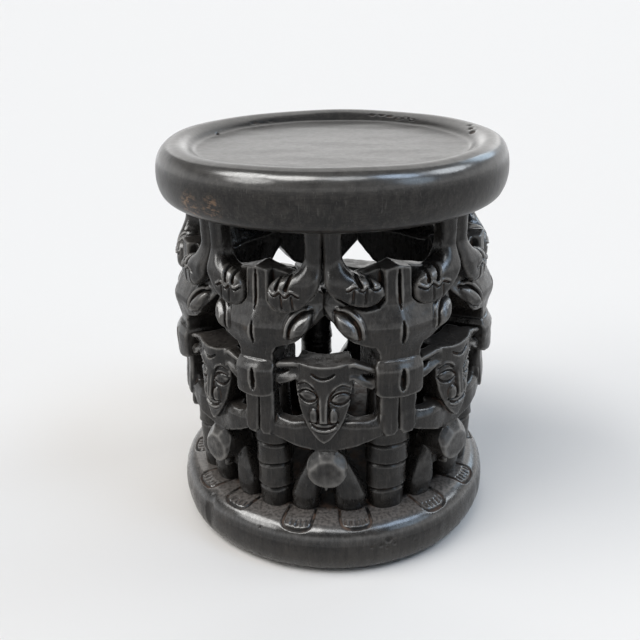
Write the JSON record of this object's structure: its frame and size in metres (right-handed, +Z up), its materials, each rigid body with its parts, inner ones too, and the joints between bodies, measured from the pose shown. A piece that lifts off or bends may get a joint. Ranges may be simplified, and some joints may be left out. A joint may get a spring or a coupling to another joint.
{
  "type": "carved round stool",
  "caption": "Round dark wood stool: a dished seat on a pierced wall of squatting carved figures, banded pillars, beast heads and hanging arms, over a thick round base.",
  "frame": {"origin": "centre of the base's underside, where the stool stands on the floor", "axes": "+Z up along the stool's axis, -Y the way the first carved figure faces"},
  "size_m": [0.377, 0.377, 0.44],
  "materials": {
    "seat_wood": "satin, worn",
    "base_wood": "satin",
    "figure_wood": "semi-gloss",
    "pillar_wood": "satin",
    "beast_wood": "semi-gloss",
    "arm_wood": "semi-gloss"
  },
  "bodies": {
    "root": {"seat": "seat_wood", "base": "base_wood", "figure_1": "figure_wood", "figure_2": "figure_wood", "figure_3": "figure_wood", "figure_4": "figure_wood", "figure_5": "figure_wood", "figure_6": "figure_wood", "figure_7": "figure_wood", "pillar_1": "pillar_wood", "pillar_2": "pillar_wood", "pillar_3": "pillar_wood", "pillar_4": "pillar_wood", "pillar_5": "pillar_wood", "pillar_6": "pillar_wood", "pillar_7": "pillar_wood", "beast_head_1": "beast_wood", "beast_head_2": "beast_wood", "beast_head_3": "beast_wood", "beast_head_4": "beast_wood", "beast_head_5": "beast_wood", "beast_head_6": "beast_wood", "beast_head_7": "beast_wood", "hanging_arm_left_1": "arm_wood", "hanging_arm_left_2": "arm_wood", "hanging_arm_left_3": "arm_wood", "hanging_arm_left_4": "arm_wood", "hanging_arm_left_5": "arm_wood", "hanging_arm_left_6": "arm_wood", "hanging_arm_left_7": "arm_wood", "hanging_arm_right_1": "arm_wood", "hanging_arm_right_2": "arm_wood", "hanging_arm_right_3": "arm_wood", "hanging_arm_right_4": "arm_wood", "hanging_arm_right_5": "arm_wood", "hanging_arm_right_6": "arm_wood", "hanging_arm_right_7": "arm_wood"}
  },
  "joints": []
}
